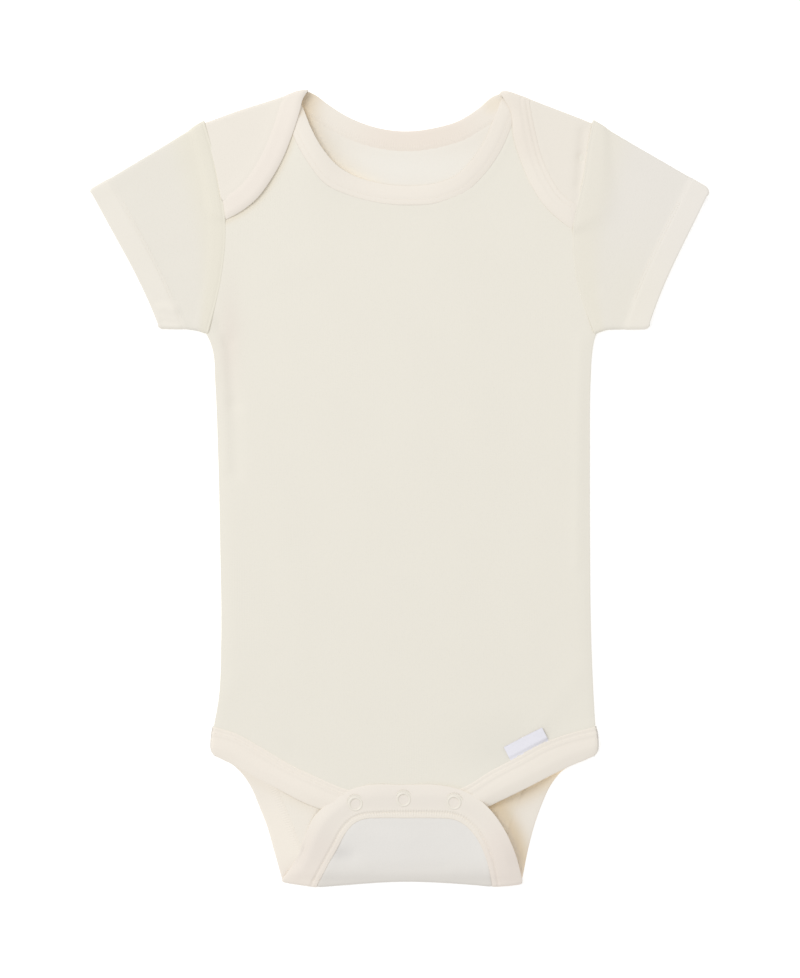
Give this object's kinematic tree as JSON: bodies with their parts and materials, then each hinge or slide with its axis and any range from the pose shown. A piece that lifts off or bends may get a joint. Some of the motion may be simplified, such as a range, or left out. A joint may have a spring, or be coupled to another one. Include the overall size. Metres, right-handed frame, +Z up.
{
  "type": "baby bodysuit",
  "caption": "Short-sleeved baby bodysuit of knit cloth with lap shoulders, bound edges and a snap crotch tab, laid flat with its front up.",
  "frame": {"origin": "centre of the bounding box in plan, on the surface that the garment lies on", "axes": "+X across the chest towards the sleeve on the wearer's left, +Y from the crotch to the neck, +Z up from the surface, out of the front"},
  "size_m": [0.3168, 0.408, 0.0056],
  "materials": {
    "body_knit": "fine cotton rib knit, cream, matt",
    "binding_rib": "folded cotton rib binding, cream, matt",
    "snap_ring": "cream enamelled prong ring, satin",
    "label_tape": "woven tape, white, satin, blank"
  },
  "bodies": {
    "root": {"back_panel": "body_knit", "front_panel": "body_knit", "left_sleeve": "body_knit", "right_sleeve": "body_knit", "front_neck_binding": "binding_rib", "back_neck_binding": "binding_rib", "front_leg_binding": "binding_rib", "back_leg_binding": "binding_rib", "side_label": "label_tape", "snap_left": "snap_ring", "snap_centre": "snap_ring", "snap_right": "snap_ring"}
  },
  "joints": []
}
